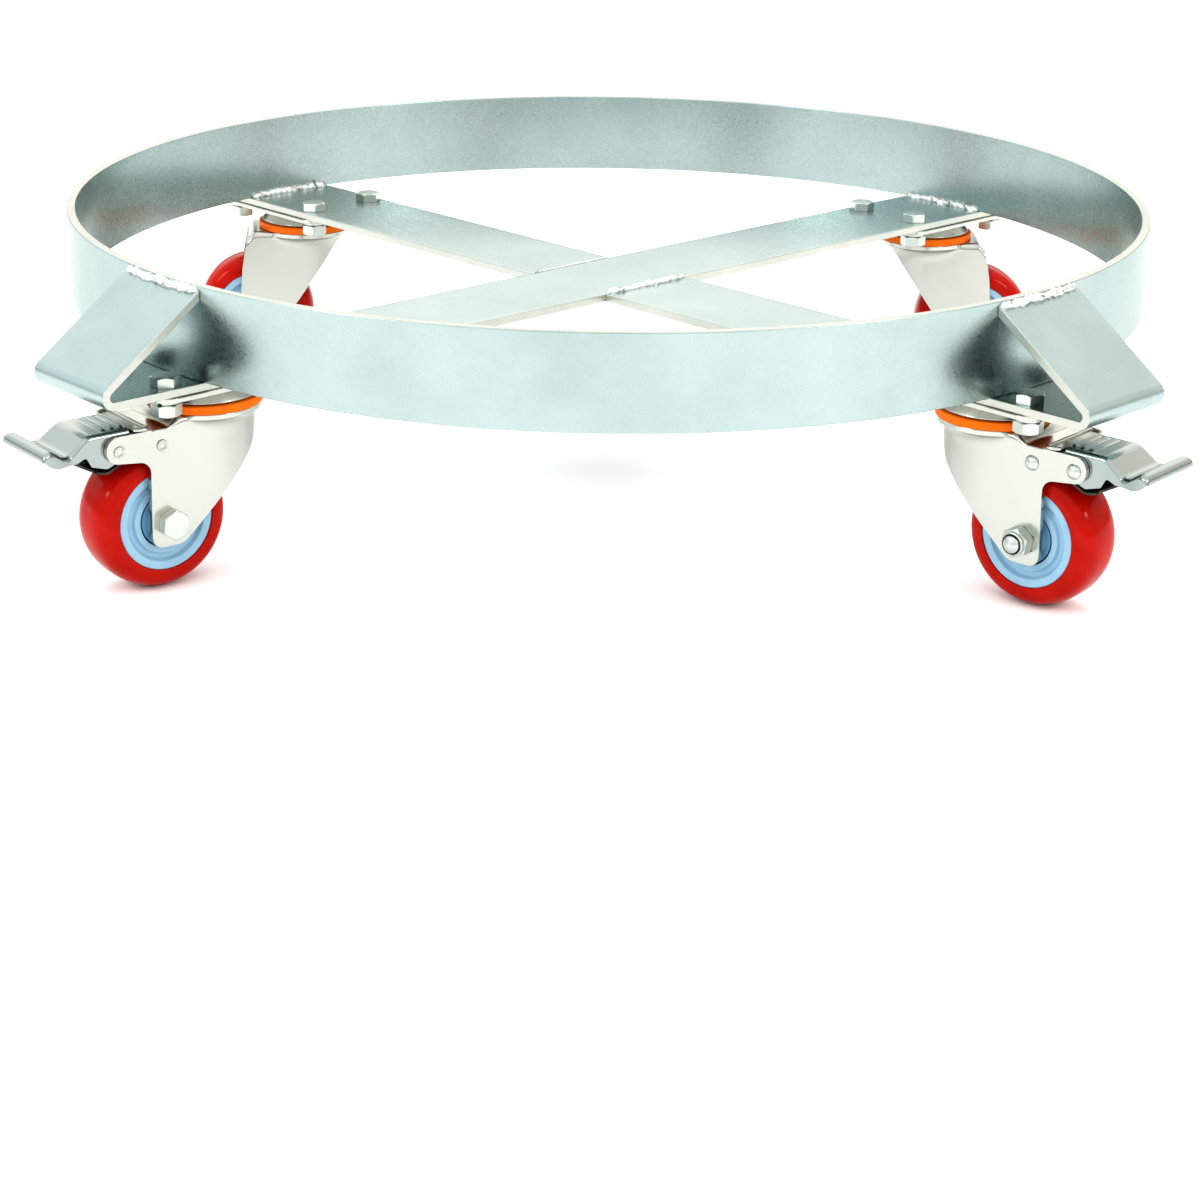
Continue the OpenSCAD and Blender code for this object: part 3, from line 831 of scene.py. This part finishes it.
def cap_mesh():
    """The two thread guards of one wheel."""
    s = Shape()
    face = [(CAP_IN, 13.4), (13.9, 13.4, 0.2), (13.9, 14.5, 0.5), (10.8, 15.0, 1.0), (10.0, 17.75, 0.4),
            (CAP_IN, 17.75)]
    for profile in (face, mirrored(face)):
        s.lathe(fillet(profile, 0, 5), AXLE, "Y", steps=96)
    return s.mesh("caps")


def thread(r, start, end, pitch):
    """A profile that stands for a screw thread, as rings at its pitch."""
    count = max(1, int(abs(end - start) / pitch))
    step = (end - start) / count
    points = []
    for i in range(count):
        points += [(r - 0.45, start + step * i), (r, start + step * (i + 0.5))]
    return points + [(r - 0.45, end)]


def axle_bolt_mesh(turn):
    s = Shape()
    s.hexagon(AXLE_AF, LEG_OUT + 0.01, LEG_OUT + 6, AXLE, "Y", turn)
    tip = -LEG_OUT - 11.4
    r = AXLE_R - 0.05
    profile = [(0, LEG_OUT + 0.5), (r, LEG_OUT + 0.5)]
    profile += thread(r, -LEG_OUT - 6, tip + 1.6, 1.0) + [(2.6, tip + 0.5), (1.6, tip), (0, tip)]
    s.lathe(profile, AXLE, "Y", steps=48, closed=False)
    return s.mesh("axle_bolt")


def axle_nut_mesh(turn):
    """A lock nut: a hexagon, a rolled collar, and the nylon insert that the collar holds."""
    s = Shape()
    outer = -LEG_OUT - 7
    bore = AXLE_R + 0.02
    s.hexagon(AXLE_AF, outer, -LEG_OUT - 0.01, AXLE, "Y", turn, bore=bore, chamfers=(True, True))
    collar = [(5.5, outer + 0.3), (6.5, outer + 0.3), (6.5, outer - 1.7, 0.8), (5.5, outer - 2.1, 0.3)]
    s.lathe(fillet(collar, 0, 5), AXLE, "Y", steps=64)
    insert = [(bore, outer + 0.3), (5.6, outer + 0.3), (5.6, outer - 1.7), (bore, outer - 1.5)]
    s.lathe(insert, AXLE, "Y", steps=64, paint=1)
    return s.mesh("axle_nut")


# how far each axle bolt and lock nut happens to be turned, in degrees
HEAD_TURNS = {"front_left": 24, "front_right": 5, "rear_left": 40, "rear_right": 14}
LOCK_TURNS = {"front_left": 10, "front_right": 38, "rear_left": 22, "rear_right": 48}
for corner in CORNERS:
    at = caster_place(corner)
    wheel, caster = "wheel_" + corner, "caster_" + corner
    # the hub's second material is painted shade in the gap round the thread guard
    piece("moulded_hub_" + corner, hub_mesh(), at, [HUB_BLUE, BLACK_NYLON_AND_GAP_SHADE], wheel, ["wheel_hub_" + corner])
    piece("cast_tyre_" + corner, tyre_mesh(), at, [TYRE_RED], wheel, ["tyre_" + corner])
    piece("thread_guards_" + corner, cap_mesh(), at, [CAP_BLUE], caster, ["dust_caps_" + corner])
    piece("axle_screw_" + corner, axle_bolt_mesh(HEAD_TURNS[corner]), at, [BOLT_ZINC], caster,
          ["axle_bolt_" + corner], edge=0.25, limit=40)
    piece("lock_nut_" + corner, axle_nut_mesh(LOCK_TURNS[corner]), at, [BOLT_ZINC, BLACK_NYLON_AND_GAP_SHADE], caster,
          ["axle_nut_" + corner], edge=0.2, limit=40)


# ---------------------------------------------------------------- brakes

# the pedal's top seen from the side, as (x, z, radius there)
PEDAL_LINE = [(53, -22, 0), (77, -22, 9), (88.3, -30.4, 5), (92.6, -29.2, 5), (99.2, -24.3, 4),
              (103.4, -25.2, 3), (104.8, -28.8, 0)]
PEDAL_T = 1.8
PEDAL_BEND = 2.6                        # radius along its two sides
FLANGE_OUT = 17.4
FLANGE_LOW = -48.0                      # below the flanges' edges, to be trimmed
LIP_FLARE = 5.6                         # how much wider the lip is, on each side
RIBS = (55.5, 60.5, 65.5)
RIB_H, RIB_W, RIB_HALF, RIB_END = 1.3, 0.9, 13, 1.6     # height, width, half length, slope at the end
LEAF_T = 1.3


def line_at(points, x):
    """The height of a line of points at x."""
    xs = [p[0] for p in points]
    return float(np.interp(x, xs, [p[1] for p in points]))


def rib_lift(x, y):
    """How far the ribs stand up at a point of the pedal's top."""
    lift = 0.0
    for rib in RIBS:
        across = math.exp(-((x - rib) / RIB_W) ** 2)
        lift += RIB_H * across * smooth((RIB_HALF - abs(y)) / RIB_END)
    return lift


def pedal_mesh():
    """The foot pedal: a channel with three ribs and a flared lip, trimmed to its outline from the side."""
    top = fillet(PEDAL_LINE, 0, 10, closed=False)
    stations = sorted(set([round(p[0], 3) for p in top] + [round(x, 3) for x in np.arange(53, 78, 0.55)]))
    rings = []
    for x in stations:
        z = line_at(top, x)
        slope = (line_at(top, x + 0.3) - line_at(top, x - 0.3)) / 0.6
        under = z - PEDAL_T * math.sqrt(1 + slope * slope)
        half = FLANGE_OUT + LIP_FLARE * smooth((x - 81) / 23)
        inner = half - PEDAL_T
        bend_y, bend_z = half - PEDAL_BEND, z - PEDAL_BEND
        section = [(-half, FLANGE_LOW), (-half, bend_z)]
        section += arc(-bend_y, bend_z, PEDAL_BEND, 180, 90, 5)[1:]
        section += [(y, z + rib_lift(x, y)) for y in np.linspace(-bend_y, bend_y, 33)[1:-1]]
        section += arc(bend_y, bend_z, PEDAL_BEND, 90, 0, 5)
        section += [(half, FLANGE_LOW), (inner, FLANGE_LOW), (inner, under - 1.2)]
        section += [(inner - 0.4, under - 0.4), (inner - 1.2, under), (-inner + 1.2, under)]
        section += [(-inner + 0.4, under - 0.4), (-inner, under - 1.2), (-inner, FLANGE_LOW)]
        rings.append([(x, y, height) for y, height in section])
    s = Shape()
    s.rings(rings)
    shell = s.mesh("pedal_shell")
    boss = arc(PIVOT[0], PIVOT[1], 6.8, 180, 262, 8)
    side = fillet([
        (PEDAL_LINE[0][0], -18), (107, -18), (107, -28.9), (104.0, -29.0, 2), (100.6, -32.2, 4),
        (95.6, -34.4, 4), (84, -34.6, 2), (78.5, -32.6, 1.5), (75.8, -38, 2), (67, -40.7, 3),
        (62.5, -38.8, 2)], 0, 6)
    tool = Shape()
    tool.prism(side + boss[::-1] + [(54.2, -28)], -TRIM, TRIM)
    return cut(shell, tool.mesh("tool"), "INTERSECT")


def shoe_mesh():
    """The leaf under the pedal: narrower at its outer end, with an eye for its rivet and a pad below."""
    top = fillet([(37.1, -29.5), (44, -31.7, 8), (52, -35.6, 20), (60, -39.3, 20), (67, -42.6, 5),
                  (72, -41.6, 5), (85.5, -33.9)], 0, 6, closed=False)
    s = Shape()
    for half, end in ((17.0, 77.0), (15.2, 90.0)):
        line = [p for p in top if p[0] < end]
        under = []
        for i, (x, z) in enumerate(line):
            a = Vector(line[max(i - 1, 0)])
            b = Vector(line[min(i + 1, len(line) - 1)])
            d = (b - a).normalized()
            under.append((x + LEAF_T * d.y, z - LEAF_T * d.x))
        s.prism(line + under[::-1], -half, half)
    eye = fillet([(2.56, -17), (3.3, -17), (3.3, 17), (2.56, 17)], 0.2, 2)
    s.lathe(eye, (ANCHOR[0], 0, ANCHOR[1]), "Y", 40)
    s.prism(fillet([(55, -37.6), (63, -40.9), (63, -42.3, 0.8), (55, -39.1, 0.8)], 0, 3), -9, 9)
    return s.mesh("shoe")


def lock_mesh():
    """The lock plate, with its inner edge rolled and its two ends hooked back to the pedal."""
    s = Shape()
    s.prism(fillet([(45.4, -23.6), (52, -23.6), (52, -22.6), (45.4, -22.6)], 0.3, 3), -19.0, 19.0)
    hook = [(45.3, 18.6), (45.4, 19.6), (45.9, 20.5), (46.9, 21.0), (48.2, 20.9), (50.2, 20.2), (52.4, 19.0)]
    height, radius = -22.4, 1.1
    path = [Vector((x, -y, height)) for x, y in hook[::-1]] + [Vector((x, y, height)) for x, y in hook]
    up = Vector((0, 0, 1))
    turns = [2 * math.pi * k / 12 for k in range(12)]
    rings = []
    for i, here in enumerate(path):
        ahead = (path[min(i + 1, len(path) - 1)] - path[max(i - 1, 0)]).normalized()
        side = ahead.cross(up).normalized()
        rings.append([here + (side * math.cos(a) + up * math.sin(a)) * radius for a in turns])
    s.rings(rings)
    return s.mesh("lock")


def rivet_mesh():
    """The pedal's and the leaf's rivets, with a domed head at one end and a hollow tail at the other."""
    s = Shape()
    head = [(0, -LEG_OUT - 2.2), (1.6, -LEG_OUT - 2.0), (3.0, -LEG_OUT - 1.4), (3.9, -LEG_OUT - 0.5),
            (4.1, -LEG_OUT), (2.5, -LEG_OUT + 0.2), (2.5, LEG_OUT + 0.2), (2.9, LEG_OUT)]
    tail = [(3.1, LEG_OUT + 0.5), (2.7, LEG_OUT + 1.0), (2.1, LEG_OUT + 0.9), (1.6, LEG_OUT - 0.4),
            (1.2, LEG_OUT - 2.2), (0, LEG_OUT - 2.4)]
    for x, z in (PIVOT, ANCHOR):
        s.lathe(head + tail, (x, 0, z), "Y", 48, closed=False)
    return s.mesh("rivets")


for corner in BRAKED:
    at = caster_place(corner)
    piece("foot_pedal_" + corner, pedal_mesh(), at, [PEDAL_ZINC], "pedal_" + corner,
          ["brake_pedal_" + corner], edge=0.3, limit=50)
    piece("brake_leaf_" + corner, shoe_mesh(), at, [SHOE_BLACK], "shoe_" + corner,
          ["brake_shoe_" + corner], edge=0.2)
    piece("lock_clip_" + corner, lock_mesh(), at, [CASTER_ZINC], "lock_" + corner,
          ["lock_plate_" + corner], edge=0.2)
    piece("rivet_pair_" + corner, rivet_mesh(), at, [BOLT_ZINC], "caster_" + corner,
          ["brake_rivets_" + corner])


# ---------------------------------------------------------------- inner pieces, kept as the CAD has them

for name, node in frame["nodes"].items():
    if name.startswith(("axle_sleeve", "wheel_bearings", "kingpins", "swivel_balls")):
        node.data.materials.clear()
        node.data.materials.append(GROUND_STEEL)


# ---------------------------------------------------------------- studio


def studio_floor():
    """A pale, matt floor, 60 m square."""
    mesh = bpy.data.meshes.new("floor")
    half = 30
    corners = [(-half, -half, 0), (half, -half, 0), (half, half, 0), (-half, half, 0)]
    mesh.from_pydata(corners, [], [(0, 1, 2, 3)])
    o = bpy.data.objects.new("floor", mesh)
    bpy.context.scene.collection.objects.link(o)
    p = Paint("floor")
    p.feed("Base Color", p.ramp(p.noise(3, 2), [(0.3, (0.92, 0.92, 0.92)), (0.7, (0.94, 0.94, 0.94))]))
    p.set(Roughness=0.9)
    mesh.materials.append(p.material)


def area_light(name, place, aim, size, power, glossy=True):
    """A rectangular light, in metres and watts. glossy says whether it shows in reflections."""
    light = bpy.data.lights.new(name, "AREA")
    light.shape = "RECTANGLE"
    light.size, light.size_y = size
    light.energy = power
    o = bpy.data.objects.new(name, light)
    bpy.context.scene.collection.objects.link(o)
    o.location = place
    o.rotation_euler = (Vector(aim) - Vector(place)).to_track_quat("-Z", "Y").to_euler()
    o.visible_glossy = glossy


def studio_world():
    """A pale room: white above, cool on the left, warmer on the right, and dimmer low down at the back."""
    world = bpy.data.worlds.new("studio")
    world.use_nodes = True
    tree = world.node_tree
    split = tree.nodes.new("ShaderNodeSeparateXYZ")
    tree.links.new(tree.nodes.new("ShaderNodeTexCoord").outputs["Generated"], split.inputs[0])

    def step(axis, low, high):
        node = tree.nodes.new("ShaderNodeMapRange")
        node.interpolation_type = "SMOOTHSTEP"
        node.inputs["From Min"].default_value = low
        node.inputs["From Max"].default_value = high
        tree.links.new(split.outputs[axis], node.inputs["Value"])
        return node.outputs["Result"]

    def blend(factor, a, b):
        node = tree.nodes.new("ShaderNodeMix")
        node.data_type = "RGBA"
        tree.links.new(factor, node.inputs["Factor"])
        for socket, value in ((node.inputs[MIX_A], a), (node.inputs[MIX_B], b)):
            if isinstance(value, tuple):
                socket.default_value = (*value, 1)
            else:
                tree.links.new(value, socket)
        return node.outputs[MIX_OUT]

    sides = blend(step("X", -0.5, 0.5), (0.86, 0.90, 0.93), (0.82, 0.755, 0.70))
    sides = blend(step("Z", 0.0, 0.28), (0.42, 0.44, 0.42), sides)
    back = blend(step("Z", 0.15, 0.27), (0.42, 0.45, 0.43), (1.22, 1.18, 1.14))
    around = blend(step("Y", 0.40, 0.80), sides, back)
    background = tree.nodes["Background"]
    tree.links.new(blend(step("Z", 0.5, 0.8), around, (1.0, 1.0, 1.0)), background.inputs["Color"])
    background.inputs["Strength"].default_value = 1.43
    bpy.context.scene.world = world


def studio():
    studio_floor()
    studio_world()
    area_light("overhead", (0, 0.3, 2.4), (0, 0, 0.1), (2.6, 2.0), 22, glossy=False)
    area_light("left strip", (-1.7, -1.2, 1.3), (-0.2, -0.2, 0.05), (0.5, 0.7), 12)
    area_light("right strip", (1.7, -1.2, 1.3), (0.2, -0.2, 0.05), (0.5, 0.7), 12)
    bpy.context.scene.view_settings.view_transform = "Standard"
    bpy.context.scene.view_settings.look = "Medium High Contrast"


CAMERA_AT = (0.0296, -1.4864, 0.4853)   # metres
CAMERA_TURN = (91.213, -21.225, 0.785)  # heading, pitch and roll, in degrees
SENSOR, LENS = 36, 77.4


def photo_camera():
    """The viewpoint of the photograph."""
    data = bpy.data.cameras.new("camera")
    data.sensor_width = SENSOR
    data.lens = LENS
    data.clip_start = 0.01
    o = bpy.data.objects.new("camera", data)
    bpy.context.scene.collection.objects.link(o)
    heading, pitch, roll = (math.radians(a) for a in CAMERA_TURN)
    level = math.cos(pitch)
    forward = Vector((level * math.cos(heading), level * math.sin(heading), math.sin(pitch)))
    right = forward.cross(Vector((0, 0, 1))).normalized()
    up = right.cross(forward)
    tilted_right = right * math.cos(roll) + up * math.sin(roll)
    tilted_up = tilted_right.cross(forward)
    turn = Matrix((tilted_right, tilted_up, -forward)).transposed().to_4x4()
    o.matrix_world = Matrix.Translation(CAMERA_AT) @ turn
    bpy.context.scene.camera = o


studio()
photo_camera()
